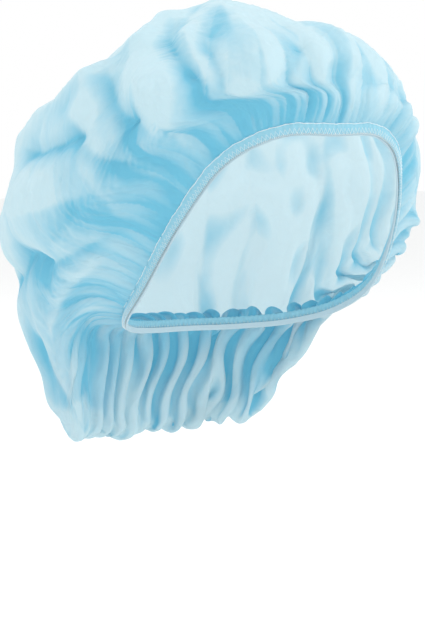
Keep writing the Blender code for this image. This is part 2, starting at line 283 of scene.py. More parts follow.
def section_stations(angle):
    """The places that each section passes from hem to top: rim, swell, lip, belly, shoulder, top."""
    swell_out = section_value("swell_out", angle) * SWELL
    swell_up = section_value("swell_up", angle) * SWELL
    rim_up = BAND_WIDTH - TUCK_BEHIND_BAND
    rim_out = BAND_PROUD - BAND_THICKNESS / 2
    stations = [hem_place(angle, rim_out, rim_up), hem_place(angle, swell_out, BAND_WIDTH + swell_up)]
    turn = np.radians(angle)
    for name in ("lip", "belly", "shoulder"):
        reach = section_value(name + "_reach", angle)
        height = share_height(section_value(name + "_height", angle), CROWN_RISE, POUCH_DROP)
        x = CROWN_SHIFT_LEFT + reach * CROWN_BREADTH / 2 * np.sin(turn)
        y = CROWN_SHIFT_BACK - reach * CROWN_LENGTH / 2 * np.cos(turn)
        stations.append(np.stack([x, y, height], axis=-1))
    top = np.array([CROWN_SHIFT_LEFT, TOP_SHIFT_BACK, CROWN_RISE])
    stations.append(np.broadcast_to(top, stations[0].shape))
    return np.stack(stations, axis=-2)


def smooth_crown(angle, climb):
    """The puffed form without folds: cubics through the stations, with climb 0 at the hem and 1 at
    the top measured along the chords. Gives the points and each section's length."""
    stations = section_stations(angle)
    chords = np.linalg.norm(np.diff(stations, axis=-2), axis=-1)
    knots = np.concatenate([np.zeros_like(chords[..., :1]), np.cumsum(chords, axis=-1)], axis=-1)
    slopes = np.diff(stations, axis=-2) / chords[..., None]
    before, after = chords[..., :-1, None], chords[..., 1:, None]
    middle = (slopes[..., :-1, :] * after + slopes[..., 1:, :] * before) / (before + after)
    level = slopes[..., -1:, :] * np.array([1, 1, 0])
    slopes = np.concatenate([slopes[..., :1, :], middle, level], axis=-2)
    run = climb * knots[..., -1]
    index = (run[..., None] >= knots[..., 1:-1]).sum(axis=-1)[..., None]
    start = np.take_along_axis(knots, index, axis=-1)
    chord = np.take_along_axis(chords, index, axis=-1)
    here, there = index[..., None], index[..., None] + 1
    points = hermite(
        (run[..., None] - start) / chord,
        np.take_along_axis(stations, here, axis=-2)[..., 0, :],
        np.take_along_axis(stations, there, axis=-2)[..., 0, :],
        np.take_along_axis(slopes, here, axis=-2)[..., 0, :] * chord,
        np.take_along_axis(slopes, there, axis=-2)[..., 0, :] * chord,
    )
    return points, knots[..., -1]


def outward_normals(angle, climb):
    """Outward directions of the smooth form: its slope round the cap crossed with its slope up."""
    low = np.clip(climb, 0, 0.996)
    round_slope = smooth_crown(angle + 1, low)[0] - smooth_crown(angle - 1, low)[0]
    up_slope = smooth_crown(angle, low + 0.004)[0] - smooth_crown(angle, low)[0]
    normals = np.cross(round_slope, up_slope)
    return normals / np.linalg.norm(normals, axis=-1, keepdims=True)


# How sharply the blue changes at a main fold's edge, in metres
FOLD_EDGE_WIDTH = 0.0014


def main_folds(points, normals, line_points):
    """Lift and edges of the main folds. The lift is depth times a crest exp(-(distance / flank) **
    1.4), where the distance is to the fold's line on the smooth form, and the lean widens one
    flank. The edge is 1 on one side of the line and -1 on the other, and fades over two flanks."""
    lift = np.zeros(len(points))
    edge = np.zeros(len(points))
    steps = np.linspace(0, 1, line_points)
    for from_angle, from_climb, to_angle, to_climb, half_width, depth, lean in FOLDS:
        line = smooth_crown(
            from_angle + (to_angle - from_angle) * steps,
            from_climb + (to_climb - from_climb) * steps,
        )[0]
        runs = np.diff(line, axis=0)
        offset = points[:, None] - line[:-1]
        share = np.clip((offset * runs).sum(-1) / (runs**2).sum(-1), 0, 1)
        away = offset - share[..., None] * runs
        nearest = np.linalg.norm(away, axis=-1).argmin(axis=1)
        away = away[np.arange(len(points)), nearest]
        distance = np.linalg.norm(away, axis=-1)
        sideways = np.cross(runs[nearest], normals)
        sideways /= np.linalg.norm(sideways, axis=-1, keepdims=True)
        side = (away * sideways).sum(-1) / np.maximum(distance, 1e-6)
        flank = half_width * CROWN_BREADTH * (1 + lean * side)
        lift += depth * CROWN_BREADTH * np.exp(-((distance / flank) ** 1.4))
        fade = np.exp(-((distance / (2 * half_width * CROWN_BREADTH)) ** 2))
        edge += np.tanh(side * distance / FOLD_EDGE_WIDTH) * fade
    return lift, edge


def swell_then_fade(distance, reach):
    """0 at the hem, 1 at a quarter of the reach, and back to almost nothing at the reach."""
    share = 4 * distance / reach
    return share * np.exp(1 - share)


# Gathers: how many round the cap, how deep in metres, how far they reach from the hem, where they
# start, and how much deeper the blue is where one lies over the next
GATHER_SETS = (
    (156, 0.0007, 0.012, 0.4, 0.10),
    (83, 0.0015, 0.028, 2.1, 0.22),
    (41, 0.0026, 0.060, 0.0, 0.40),
    (17, 0.0050, 0.110, 1.1, 0.40),
)


def gathers(angle, distance):
    """Rounded ridges with narrow valleys, sqrt(half of 1 + cos), that sway as they climb. Gives
    their lift, and how far each place is overlapped: from 0.5 down to -0.5 across each ridge,
    with its jump in the valley. The sway and the unevenness are sines that close round the cap."""
    turn = np.radians(angle)
    lift = np.zeros_like(angle)
    overlap = np.zeros_like(angle)
    for count, depth, reach, start, deepening in GATHER_SETS:
        sway = 0.06 * np.sin(3 * turn + 0.7) + 0.03 * np.sin(7 * turn + 1.9)
        sway = sway + 0.6 / count * np.sin(11 * turn + start + distance / reach * 2)
        uneven = 0.75 + 0.25 * np.sin(5 * turn + 3 * start) * np.sin(8 * turn + start)
        phase = count * (turn + sway) + start
        here = uneven * swell_then_fade(distance, reach)
        lift += depth * (np.sqrt(0.5 + 0.5 * np.cos(phase)) - 0.5) * here
        overlap += deepening * (0.5 - (phase - np.pi) / (2 * np.pi) % 1) * here
    return lift, overlap


def small_fold_lift(flat, seed, count, lengths, widths, depths, spread):
    """Lift of many small folds that lie in the flat sheet. Each is a line with a rounded crest,
    1 / (1 + (across / width) ** 2), that fades to nothing at its two ends. Near the edge they run
    towards the middle of the sheet, and near the middle they run any way."""
    chance = np.random.default_rng(seed)
    lift = np.zeros(len(flat))
    for _ in range(count):
        radius = FLAT_DIAMETER / 2 * np.sqrt(chance.random())
        place = chance.random() * 2 * np.pi
        swing = chance.normal() * spread * (1.6 - radius / (FLAT_DIAMETER / 2))
        half_length = chance.uniform(*lengths)
        width = chance.uniform(*widths)
        depth = chance.uniform(*depths) * chance.choice([-1, 1])
        middle = radius * np.array([np.sin(place), -np.cos(place)])
        way = np.array([np.sin(place + swing), -np.cos(place + swing)])
        offset = flat - middle
        along = offset @ way / half_length
        bend = chance.normal() * 0.15 * half_length
        across = offset @ np.array([-way[1], way[0]]) - bend * along**2
        fade = np.clip(1 - along**2, 0, 1) ** 2
        lift += depth * fade / (1 + (across / width) ** 2)
    return lift


# Facets: puffed panels between creases, longer up the cap than round it. One row per belt of
# them: how far up it lies, and how many there are round the cap.
FACET_BELTS = ((0.15, 21), (0.37, 14), (0.59, 10), (0.81, 6), (1.00, 1))
FACET_SPACING = 0.045


def facets(angle, climb, points, length, seed):
    """Each point's squared distance to the nearest facet's middle, as a share of the spacing, with
    distances up the cap halved and a chance number added that makes some facets smaller. Also
    gives a chance number from 0 to 1 that the whole facet shares."""
    chance = np.random.default_rng(seed)
    radius = np.hypot(points[:, 0] - CROWN_SHIFT_LEFT, points[:, 1] - TOP_SHIFT_BACK)
    nearest = np.full(len(angle), np.inf)
    tone = np.zeros(len(angle))
    for belt_climb, count in FACET_BELTS:
        for number in range(count):
            middle_angle = 360 * (number + chance.uniform(-0.3, 0.3)) / count
            middle_climb = belt_climb + chance.uniform(-0.07, 0.07)
            across = np.radians((angle - middle_angle + 180) % 360 - 180) * radius
            along = 0.5 * (climb - middle_climb) * length
            distance = (across**2 + along**2) / FACET_SPACING**2 + chance.uniform(0, 0.12)
            tone = np.where(distance < nearest, chance.random(), tone)
            nearest = np.minimum(distance, nearest)
    return nearest, tone


def round_grid(rings):
    """A square grid drawn into a disc, each ring of the disc one square of the grid, so that the
    middle has no pole. Gives each point's angle, its share of the radius, and the quads."""
    line = np.arange(-rings, rings + 1)
    x, y = (part.ravel().astype(float) for part in np.meshgrid(line, line))
    ring = np.maximum(np.abs(x), np.abs(y))
    on_sides = np.abs(x) >= np.abs(y)
    opposite = np.where(on_sides, x < 0, y < 0)
    along = np.where(on_sides, y, -x) / np.maximum(ring, 1) * np.where(opposite, -1, 1)
    angle = (45 * along + 90 * ~on_sides + 180 * opposite + 90) % 360
    columns = 2 * rings + 1
    corner = (np.arange(columns - 1)[:, None] * columns + np.arange(columns - 1)).ravel()
    faces = np.stack([corner, corner + 1, corner + columns + 1, corner + columns], axis=-1)
    return angle, ring / rings, faces


# How far in front of the disc's middle the top of the worn crown lies
TOP_FORWARD_IN_DISC = 0.115


def flat_place(angle, climb):
    """Where each point lies in the flat disc. The top of the worn crown lies nearer the disc's front
    edge, because the front is short and the pouch is long, and each section is a straight line
    from there to its even share of the disc's edge."""
    turns = np.linspace(0, 360, 3601)
    run = np.linalg.norm(np.diff(opening_loop(turns % 360), axis=0), axis=1)
    run = np.concatenate([[0], np.cumsum(run)]) / run.sum()
    around = 2 * np.pi * np.interp(angle, turns, run)
    edge = FLAT_DIAMETER / 2 * np.stack([np.sin(around), -np.cos(around)], axis=-1)
    return edge + (np.array([0, -TOP_FORWARD_IN_DISC]) - edge) * climb[:, None]


def link_ends(grid, rows, columns):
    """Both ends of every link that runs some rows down and columns across the grid, as views."""
    count = grid.shape[0]
    if columns < 0:
        return grid[: count - rows, -columns:], grid[rows:, : count + columns]
    return grid[: count - rows, : count - columns], grid[rows:, columns:]


def box_mean(field, reach):
    """The mean over a square of neighbours, from running sums along the rows and the columns."""
    for axis in (0, 1):
        pad = [(0, 0)] * 3
        pad[axis] = (reach + 1, reach)
        sums = np.cumsum(np.pad(field, pad, mode="edge"), axis=axis)
        last = np.arange(2 * reach + 1, sums.shape[axis])
        first = np.arange(sums.shape[axis] - 2 * reach - 1)
        field = (np.take(sums, last, axis=axis) - np.take(sums, first, axis=axis)) / (2 * reach + 1)
    return field


def settle(start, worn, flat, fullness, free, rounds, hold, reach):
    """Lets the gathered sheet find its folds. Each link of the grid is moved towards its length in
    the cloth: its length on the smooth worn form, plus fullness times what the flat cut has more,
    as far as the link runs round the cap. Links of one step hold the edges, diagonals the shear,
    and links of two and four steps keep bends round. Links that share no point are moved together.
    After each round the mean shift of a patch is taken back by the share hold, which keeps the
    large form and leaves the folds."""
    links = []
    for rows, columns, firm, only_push in (
        (0, 1, 1.0, False), (1, 0, 1.0, False), (1, 1, 0.25, False), (1, -1, 0.25, False),
        (0, 2, 0.45, True), (2, 0, 0.45, True), (0, 4, 0.25, True), (4, 0, 0.25, True),
    ):
        flat_a, flat_b = link_ends(flat, rows, columns)
        worn_a, worn_b = link_ends(worn, rows, columns)
        full_a, full_b = link_ends(fullness, rows, columns)
        free_a, free_b = link_ends(free, rows, columns)
        cut = np.linalg.norm(flat_b - flat_a, axis=-1)
        seen = np.linalg.norm(worn_b - worn_a, axis=-1)
        to_top = np.array([0, -TOP_FORWARD_IN_DISC]) - (flat_a + flat_b) / 2
        to_top /= np.maximum(np.linalg.norm(to_top, axis=-1, keepdims=True), 1e-9)
        round_share = 1 - (((flat_b - flat_a) * to_top).sum(-1) / cut) ** 2
        length = seen + np.maximum(cut - seen, 0) * round_share * (full_a + full_b) / 2
        step = max(rows, abs(columns))
        place = np.indices(cut.shape)[0 if rows else 1] // step % 2
        for half in (0, 1):
            moved = np.where(place == half, firm / np.maximum(free_a + free_b, 1), 0)
            links.append((rows, columns, length, moved * free_a, moved * free_b, only_push))
    points = start.copy()
    for _ in range(rounds):
        for rows, columns, length, share_a, share_b, only_push in links:
            a, b = link_ends(points, rows, columns)
            run = b - a
            now = np.sqrt((run * run).sum(-1))
            excess = (now - length) / np.maximum(now, 1e-9)
            if only_push:
                excess = np.minimum(excess, 0)
            a += run * (excess * share_a)[..., None]
            b -= run * (excess * share_b)[..., None]
        points -= hold * box_mean(points - start, reach) * free[..., None]
    return points


def twice_as_fine(grid):
    """A grid with a new row and a new column between each two. Each new value is nine sixteenths of
    both neighbours less a sixteenth of both beyond them, which is the cubic through the four."""
    for _ in range(2):
        beyond = np.concatenate([2 * grid[:1] - grid[1:2], grid, 2 * grid[-1:] - grid[-2:-1]])
        finer = np.empty((2 * len(grid) - 1, *grid.shape[1:]))
        finer[::2] = grid
        finer[1::2] = (9 * (grid[:-1] + grid[1:]) - beyond[:-3] - beyond[3:]) / 16
        grid = finer.swapaxes(0, 1)
    return grid


def grid_normals(grid):
    """Outward directions of a grid of points: its slope across it crossed with its slope down it."""
    normals = np.cross(np.gradient(grid, axis=1), np.gradient(grid, axis=0))
    return normals / np.linalg.norm(normals, axis=-1, keepdims=True)


# How much of the cut's extra width shows as folds: most in the pouch, some near the hem in front,
# and little on the puffed front and sides. It is uneven from patch to patch, and a third of that
# where the stitches press the gathers flat.
FULLNESS_NEAR_HEM, FULLNESS_FRONT, FULLNESS_BACK = 0.24, 0.02, 0.80
POUCH_ANGLE, NEAR_HEM_REACH = 150, 0.022
FULLNESS_UNEVENNESS = 0.6
PRESSED_SHARE, PRESSED_REACH = 0.35, 0.020
# Rings lie closer together towards the hem
HEM_CROWDING = 1.1
FACET_SEED, FACET_DEPTH = 3, 0.008
# Points along each main fold's line: fewer for the fine grid, where only the edge is read
COARSE_LINE_POINTS, FINE_LINE_POINTS = 13, 7
# Chance roughness, in metres, that lets the first folds start
START_ROUGHNESS = 0.0002
SETTLE_ROUNDS, PATCH_HOLD, PATCH_REACH = 300, 0.12, 5
FRONT_SLACK = 0.22
coarse_angle, coarse_share, _ = round_grid(CLOTH_RINGS)
coarse_climb = (1 - coarse_share) ** HEM_CROWDING
coarse_worn, coarse_length = smooth_crown(coarse_angle, coarse_climb)
coarse_distance = coarse_climb * coarse_length
coarse_flat = flat_place(coarse_angle, coarse_climb)
clear_of_hem = np.clip(coarse_distance / SWELL, 0, 1)
backward = np.clip(0.1 + 1.1 * np.cos(np.radians(coarse_angle - POUCH_ANGLE)), 0, 1)
fullness = FULLNESS_FRONT + (FULLNESS_BACK - FULLNESS_FRONT) * backward * (1 - coarse_climb)
near_hem = (1 - backward) * np.exp(-coarse_distance / NEAR_HEM_REACH)
fullness += (FULLNESS_NEAR_HEM - FULLNESS_FRONT) * near_hem
# Patches about 70 mm wide: one sine across the sheet times one along it
patches_across = np.sin(coarse_flat[:, 0] / 0.021 + 1.5 * np.sin(coarse_flat[:, 1] / 0.034))
patches_along = np.sin(coarse_flat[:, 1] / 0.026 + 1.2)
fullness *= 1 + FULLNESS_UNEVENNESS * patches_across * patches_along
fullness *= PRESSED_SHARE + (1 - PRESSED_SHARE) * np.clip(coarse_distance / PRESSED_REACH, 0, 1)

coarse_normals = outward_normals(coarse_angle, coarse_climb)
coarse_facets, _ = facets(coarse_angle, coarse_climb, coarse_worn, coarse_length, FACET_SEED)
form_lift, _ = main_folds(coarse_worn, coarse_normals, COARSE_LINE_POINTS)
form_lift += FACET_DEPTH * (0.25 - coarse_facets)
coarse_form = coarse_worn + coarse_normals * (clear_of_hem * form_lift)[:, None]
first_lift, _ = gathers(coarse_angle, coarse_distance)
roughness = np.random.default_rng(1).normal(size=len(first_lift))
first_lift += clear_of_hem * roughness * START_ROUGHNESS
square = (2 * CLOTH_RINGS + 1, 2 * CLOTH_RINGS + 1)
first_shape = (coarse_form + coarse_normals * first_lift[:, None]).reshape(*square, 3)
settled = settle(
    first_shape,
    coarse_form.reshape(*square, 3),
    coarse_flat.reshape(*square, 2),
    fullness.reshape(square),
    (coarse_share < 1).reshape(square).astype(float),
    SETTLE_ROUNDS,
    PATCH_HOLD,
    PATCH_REACH,
)
# The front and sides are drawn taut towards the hem, so there the first, straighter folds stay
slack = (FRONT_SLACK + (1 - FRONT_SLACK) * backward).reshape(*square, 1)
settled = first_shape + (settled - first_shape) * slack

cloth_angle, cloth_share, cloth_faces = round_grid(2 * CLOTH_RINGS)
cloth_climb = (1 - cloth_share) ** HEM_CROWDING
cloth_worn, cloth_length = smooth_crown(cloth_angle, cloth_climb)
hem_distance = cloth_climb * cloth_length
flat_sheet = flat_place(cloth_angle, cloth_climb)
fine_square = (4 * CLOTH_RINGS + 1, 4 * CLOTH_RINGS + 1)
settled_shift = settled - coarse_worn.reshape(*square, 3)
cloth_grid = cloth_worn.reshape(*fine_square, 3) + twice_as_fine(settled_shift)

# Small creases all over the sheet, 30 to 80 mm long and less than 1 mm deep
CREASE_SEED, CREASES, CREASE_SPREAD = 5, 110, 0.9
CREASE_HALF_LENGTHS, CREASE_WIDTHS, CREASE_DEPTHS = (0.015, 0.040), (0.0014, 0.0024), (0.0003, 0.0008)
crease_lift = small_fold_lift(
    flat_sheet,
    CREASE_SEED,
    CREASES,
    CREASE_HALF_LENGTHS,
    CREASE_WIDTHS,
    CREASE_DEPTHS,
    CREASE_SPREAD,
)
clear_of_stitches = np.clip(hem_distance / SWELL, 0, 1)
crease_lift *= clear_of_stitches
cloth_grid += grid_normals(cloth_grid) * crease_lift.reshape(*fine_square, 1)
cloth_points = cloth_grid.reshape(-1, 3)
# How far each place lies behind the cloth round it: more than nothing in the valleys of the folds. It
# paints shade into the valleys below. First against a patch 17 points wide, and then a patch 9 points wide
# against one 51 points wide.
cloth_normals = grid_normals(cloth_grid)
sunk = ((box_mean(cloth_grid, 8) - cloth_grid) * cloth_normals).sum(-1).ravel()
wide_offset = box_mean(cloth_grid, 25) - box_mean(cloth_grid, 4)
widely_sunk = (wide_offset * cloth_normals).sum(-1).ravel()
_, facet_tone = facets(cloth_angle, cloth_climb, cloth_worn, cloth_length, FACET_SEED)
facet_tone = box_mean(facet_tone.reshape(*fine_square, 1), 1).ravel()
_, overlap = gathers(cloth_angle, hem_distance)
worn_normals = outward_normals(cloth_angle, cloth_climb)
_, fold_edge = main_folds(cloth_worn, worn_normals, FINE_LINE_POINTS)

# How deep the blue is, from 0 where one layer lets light through to 1 where gathers lie in layers, with
# painted light and shade added. It starts a little below 0, is painted paler towards the top as light from
# above, and rises towards the hem, the front's lower edge and, as painted shade, the right side. It differs
# from facet to facet, deepens under folds, and is painted deeper in the valleys as shade, where folded
# cloth also lies in more layers.
START_DEPTH, TOP_PAINTED_LIGHT, HEM_DEEPER, HEM_DEEPER_REACH = -0.10, 0.28, 0.25, 0.030
FRONT_DEEPER, SIDE_PAINTED_SHADE, PAINTED_SHADE_ANGLE = 0.30, 0.28, 265
FACETS_DIFFER, FOLD_EDGE_DEEPER = 0.50, 0.28
VALLEY_PAINTED_SHADE_DEPTH, WIDE_VALLEY_PAINTED_SHADE_DEPTH = 0.010, 0.020
toward_front = 0.5 + 0.5 * np.cos(np.radians(cloth_angle + 10))
# Painted shade: the wearer's right side, away from the main light, is given deeper blue
toward_right_side = np.clip(np.cos(np.radians(cloth_angle - PAINTED_SHADE_ANGLE)), 0, 1)
layers_and_painted_shading = (
    START_DEPTH
    # Painted light: paler blue towards the top, as lit from above
    - TOP_PAINTED_LIGHT * cloth_climb
    + HEM_DEEPER * np.exp(-hem_distance / HEM_DEEPER_REACH)
    + FRONT_DEEPER * (1 - cloth_climb) ** 1.2 * (0.3 + 0.7 * toward_front)
    # Painted shade on the side away from the main light
    + SIDE_PAINTED_SHADE * toward_right_side
    + FACETS_DIFFER * facet_tone
    + FOLD_EDGE_DEEPER * fold_edge * clear_of_stitches
    + overlap
    # Painted shade: deeper blue in the valleys, where folded cloth also lies in more layers
    + sunk / VALLEY_PAINTED_SHADE_DEPTH
    + widely_sunk / WIDE_VALLEY_PAINTED_SHADE_DEPTH
)

# Spunbond polypropylene nonwoven, laid as fine filaments and pressed together at small points. The
# eye gets a thin, matt, slightly see-through cloth: pale and greyish where light comes through one
# layer, and deeper blue where gathers lie in layers.
CLUMP_SIZE, BOND_SPACING, FILAMENT_SPACING = 0.006, 0.0015, 0.0005
CRUMPLE_SIZE, CRUMPLE_BEND_SIZE = 0.020, 0.030
CLUMP_CONTRAST, LIGHT_THROUGH = 0.16, 0.48
OPEN_ONE_LAYER, OPEN_GATHERED = 0.08, 0.02
spunbond, tree = new_material("spunbond_polypropylene_light_blue")
sheet_place = add_node(tree, "ShaderNodeUVMap", {}, uv_map="flat_sheet")
# The gathered attribute holds the layers of cloth with painted light and shade added; it sets the blue and
# the see-through share
gathered = add_node(tree, "ShaderNodeAttribute", {}, attribute_name="gathered")
# Cloudy spread of the filaments, in clumps of about 6 mm
clumps = add_node(
    tree,
    "ShaderNodeTexNoise",
    {
        "Vector": sheet_place.outputs["UV"],
        "Scale": FLAT_DIAMETER / CLUMP_SIZE,
        "Detail": 4.0,
        "Roughness": 0.6,
    },
)
# Bonding points 1.5 mm apart
bonds = add_node(
    tree,
    "ShaderNodeTexVoronoi",
    {"Vector": sheet_place.outputs["UV"], "Scale": FLAT_DIAMETER / BOND_SPACING, "Randomness": 0.15},
)
bond_spots = add_node(
    tree,
    "ShaderNodeMapRange",
    {"Value": bonds.outputs["Distance"], "From Min": 0.20, "From Max": 0.34, "To Min": 1.0, "To Max": 0.0},
)
# Filaments, a fiftieth of a millimetre thick, drawn as marks 0.5 mm apart so that they show
filaments = add_node(
    tree,
    "ShaderNodeTexNoise",
    {"Vector": sheet_place.outputs["UV"], "Scale": FLAT_DIAMETER / FILAMENT_SPACING, "Detail": 2.0},
)
# Depth of blue: layers of cloth, painted light at the top and painted shade on the right side and in
# valleys
blue_depth_and_painted_shading = add_node(
    tree,
    "ShaderNodeMath",
    {0: clumps.outputs["Fac"], 1: CLUMP_CONTRAST, 2: gathered.outputs["Fac"]},
    operation="MULTIPLY_ADD",
)
cloth_colour = add_node(
    tree,
    "ShaderNodeMix",
    {0: blue_depth_and_painted_shading.outputs[0], 6: linear("#d4e8ed"), 7: linear("#7ac6dd")},
    data_type="RGBA",
)
light_colour = add_node(
    tree,
    "ShaderNodeMix",
    {0: blue_depth_and_painted_shading.outputs[0], 6: linear("#d4e8ed"), 7: linear("#6ec2dc")},
    data_type="RGBA",
)
relief = add_node(
    tree,
    "ShaderNodeMath",
    {0: bond_spots.outputs[0], 1: -0.6, 2: filaments.outputs["Fac"]},
    operation="MULTIPLY_ADD",
)
# Fine crumpling from folding and packing: flat scraps about 20 mm wide with creases between
crumple_swirl = add_node(
    tree,
    "ShaderNodeTexNoise",
    {"Vector": sheet_place.outputs["UV"], "Scale": FLAT_DIAMETER / CRUMPLE_BEND_SIZE, "Detail": 2.0},
)
crumple_place = add_node(
    tree,
    "ShaderNodeMix",
    {0: 0.06, 4: sheet_place.outputs["UV"], 5: crumple_swirl.outputs["Color"]},
    data_type="VECTOR",
)
crumple = add_node(
    tree,
    "ShaderNodeTexVoronoi",
    {"Vector": crumple_place.outputs[1], "Scale": FLAT_DIAMETER / CRUMPLE_SIZE},
    feature="DISTANCE_TO_EDGE",
)
crumple_flat = add_node(
    tree,
    "ShaderNodeMapRange",
    {"Value": crumple.outputs["Distance"], "From Min": 0.0, "From Max": 0.30, "To Min": 0.0, "To Max": 1.0},
    interpolation_type="SMOOTHSTEP",
)
crumple_bump = add_node(
    tree,
    "ShaderNodeBump",
    {"Height": crumple_flat.outputs[0], "Strength": 0.4, "Distance": 0.0012},
)
bump = add_node(
    tree,
    "ShaderNodeBump",
    {
        "Height": relief.outputs[0],
        "Strength": 0.25,
        "Distance": 0.0002,
        "Normal": crumple_bump.outputs[0],
    },
)
face_cloth = add_node(
    tree,
    "ShaderNodeBsdfPrincipled",
    {"Base Color": cloth_colour.outputs[2], "Roughness": 0.62, "IOR": 1.49, "Normal": bump.outputs[0]},
)
face_cloth.inputs["Sheen Weight"].default_value = 0.25
face_cloth.inputs["Sheen Roughness"].default_value = 0.4
through = add_node(
    tree,
    "ShaderNodeBsdfTranslucent",
    {"Color": light_colour.outputs[2], "Normal": bump.outputs[0]},
)
thin_cloth = add_node(
    tree, "ShaderNodeMixShader", {0: LIGHT_THROUGH, 1: face_cloth.outputs[0], 2: through.outputs[0]}
)
see_through = add_node(tree, "ShaderNodeBsdfTransparent", {})
open_share = add_node(
    tree,
    "ShaderNodeMapRange",
    {
        "Value": gathered.outputs["Fac"],
        "From Min": 0.0,
        "From Max": 1.0,
        "To Min": OPEN_ONE_LAYER,
        "To Max": OPEN_GATHERED,
    },
)
cloth_shader = add_node(
    tree,
    "ShaderNodeMixShader",
    {0: open_share.outputs[0], 1: thin_cloth.outputs[0], 2: see_through.outputs[0]},
)
finish_material(tree, cloth_shader.outputs[0])

crown = new_piece("crown_cloth", cloth_points, cloth_faces, spunbond)
uv_map = crown.data.uv_layers.new(name="flat_sheet")
uv_map.data.foreach_set("uv", (flat_sheet / FLAT_DIAMETER + 0.5)[cloth_faces.ravel()].ravel())
# Stored as gathered: layers of cloth with painted light and shade added
layers_and_painted_shading_attribute = crown.data.attributes.new("gathered", "FLOAT", "POINT")
layers_and_painted_shading_attribute.data.foreach_set("value", np.clip(layers_and_painted_shading, -0.15, 1))
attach(crown, "root")
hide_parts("crown")


# Hem band
# The disc's gathered edge, 5.5 mm wide, trimmed and overlocked over the elastic. It is several
# layers of the same nonwoven pressed together, so it is the deepest blue and ripples a little.
BAND_STEPS = 1200
BAND_PROFILE_STEPS = 16
BAND_RIPPLES, RIPPLE_OUT, RIPPLE_UP = 156, 0.00018, 0.00015
BAND_MARK_SIZE, BAND_LIGHT_THROUGH = 0.0012, 0.25


def ring_piece(name, places, material):
    """A closed ring: places is a grid, steps round the cap by points round the profile."""
    steps, sides = places.shape[:2]
    here = np.arange(steps)[:, None] * sides
    after = (here + sides) % (steps * sides)
    this, following = np.arange(sides), np.roll(np.arange(sides), -1)
    faces = np.stack([here + this, after + this, after + following, here + following], axis=-1)
    return new_piece(name, places.reshape(-1, 3), faces.reshape(-1, 4), material)


round_steps = np.arange(BAND_STEPS)[:, None] * 360 / BAND_STEPS
profile_turn = np.arange(BAND_PROFILE_STEPS) * 2 * np.pi / BAND_PROFILE_STEPS
# A flat oval: each half axis times the cosine or sine drawn out to the 0.6th power
oval_out = np.sign(np.cos(profile_turn)) * np.abs(np.cos(profile_turn)) ** 0.6 * BAND_THICKNESS / 2
oval_up = np.sign(np.sin(profile_turn)) * np.abs(np.sin(profile_turn)) ** 0.6 * BAND_WIDTH / 2
ripple = np.sin(BAND_RIPPLES * np.radians(round_steps) + 2 * np.sin(9 * np.radians(round_steps)))
band_out = BAND_PROUD - BAND_THICKNESS / 2 + oval_out + RIPPLE_OUT * ripple
band_up = BAND_WIDTH / 2 + oval_up + RIPPLE_UP * ripple * np.sign(oval_up)
band_places = hem_place(np.broadcast_to(round_steps, band_out.shape), band_out, band_up)

# The same nonwoven in layers, pressed by the stitches: matt, lightly marked, and almost closed
overlocked, tree = new_material("overlocked_spunbond_edge")
band_fibres = add_node(tree, "ShaderNodeTexCoord", {})
band_marks = add_node(
    tree,
    "ShaderNodeTexNoise",
    {"Vector": band_fibres.outputs["Object"], "Scale": 1 / BAND_MARK_SIZE, "Detail": 3.0},
)
band_colour = add_node(
    tree,
    "ShaderNodeMix",
    {0: band_marks.outputs["Fac"], 6: linear("#b4e2ee"), 7: linear("#8ccfe3")},
    data_type="RGBA",
)
band_bump = add_node(
    tree, "ShaderNodeBump", {"Height": band_marks.outputs["Fac"], "Strength": 0.4, "Distance": 0.0003}
)
band_face = add_node(
    tree,
    "ShaderNodeBsdfPrincipled",
    {"Base Color": band_colour.outputs[2], "Roughness": 0.7, "Normal": band_bump.outputs[0]},
)
band_through = add_node(tree, "ShaderNodeBsdfTranslucent", {"Color": linear("#a5dff0")})
band_shader = add_node(
    tree,
    "ShaderNodeMixShader",
    {0: BAND_LIGHT_THROUGH, 1: band_face.outputs[0], 2: band_through.outputs[0]},
)
finish_material(tree, band_shader.outputs[0])
hem = ring_piece("hem_band_cloth", band_places, overlocked)
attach(hem, "root")
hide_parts("hem_band")


# Overlock stitches
# White textured polyester thread, sewn at 2.2 mm a stitch: a needle line along the band's upper
# edge, and looper threads that zigzag from the lower edge up the band, outside and inside.
STITCH_LENGTH = 0.0022
NEEDLE_RADIUS, LOOPER_RADIUS, WRAP_RADIUS = 0.00018, 0.00008, 0.00009
NEEDLE_HEIGHT, NEEDLE_RISE, NEEDLE_SEAT = BAND_WIDTH - 0.0006, 0.00022, 0.0001
LOOPER_HEIGHT, LOOPER_FOOT, LOOPER_LIFT = 0.0030, -0.0002, 0.00012
WRAP_MIDDLE, WRAP_HALF_HEIGHT, WRAP_CLEARANCE = 0.0002, 0.0006, 0.0001
hem_angles = np.arange(3600) * 0.1
hem_run = np.linalg.norm(np.diff(opening_loop(np.append(hem_angles, 360.0)), axis=0), axis=1)
HEM_LENGTH = hem_run.sum()
STITCHES = int(round(HEM_LENGTH / STITCH_LENGTH))


def even_angle(share):
    """The angle at a share of the hem's length, so that stitches are evenly spaced."""
    run_so_far = np.concatenate([[0], np.cumsum(hem_run)]) / HEM_LENGTH
    return np.interp(share % 1, run_so_far, np.append(hem_angles, 360.0))


def thread_ring(name, share, outward, up, radius, sides, material):
    """A closed thread round the hem: a tube of few sides along a path of (share, outward, up)."""
    path = hem_place(even_angle(share), outward, up)
    along = np.roll(path, -1, axis=0) - np.roll(path, 1, axis=0)
    along /= np.linalg.norm(along, axis=1, keepdims=True)
    side = np.cross(along, [0.0, 0.0, 1.0])
    side /= np.maximum(np.linalg.norm(side, axis=1, keepdims=True), 1e-6)
    lift = np.cross(side, along)
    turn = np.arange(sides) * 2 * np.pi / sides
    tube = path[:, None] + radius * (
        side[:, None] * np.cos(turn)[:, None] + lift[:, None] * np.sin(turn)[:, None]
    )
    return ring_piece(name, tube, material)


